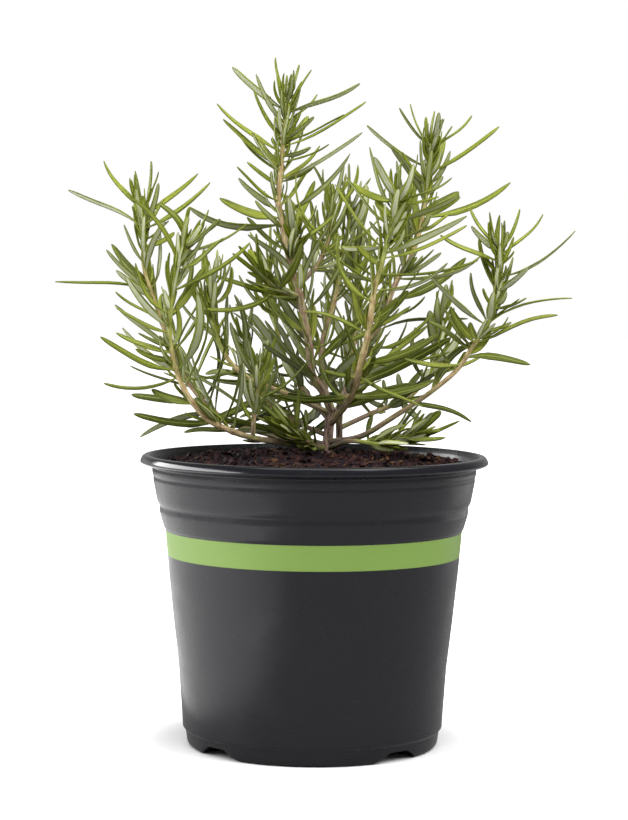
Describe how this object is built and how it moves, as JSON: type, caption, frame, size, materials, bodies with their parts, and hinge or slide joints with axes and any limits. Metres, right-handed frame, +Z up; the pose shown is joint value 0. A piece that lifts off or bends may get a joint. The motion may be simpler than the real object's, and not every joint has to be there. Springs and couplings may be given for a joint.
{
  "type": "potted rosemary plant",
  "caption": "Young rosemary plant with arching leafy stems on a short woody trunk, growing in a round dark plastic nursery pot with a rolled lip, stepped collar and green band.",
  "frame": {"origin": "on the pot's axis at the level of its feet, which is the centre of the bottom of the bounding box", "axes": "+Z up along the pot's axis, -Y towards the front that the picture shows, +X to the right in the picture"},
  "size_m": [0.172, 0.1146, 0.227],
  "materials": {
    "pot_plastic": "satin moulded polypropylene, nearly black, with a printed leaf-green band",
    "potting_mix": "coarse damp peat and bark crumbs",
    "bark": "rough grey-brown bark",
    "young_stem": "smooth yellow-green to tan young wood",
    "foliage": "waxy yellow-green needles, paler underneath"
  },
  "bodies": {
    "root": {"pot": "pot_plastic", "soil": "potting_mix", "trunk": "bark", "stem_centre": "foliage", "stem_right_front": "foliage", "stem_right_rear": "foliage", "stem_far_right": "foliage", "stem_left_front": "foliage", "stem_left_rear": "foliage", "stem_mid_left": "foliage", "stem_middle_rear": "foliage", "stem_low_right": "foliage", "stem_mid_right": "foliage", "stem_low_rear": "foliage", "stem_rear_left": "foliage", "stem_low_left": "foliage", "stem_rear": "foliage"}
  },
  "joints": []
}
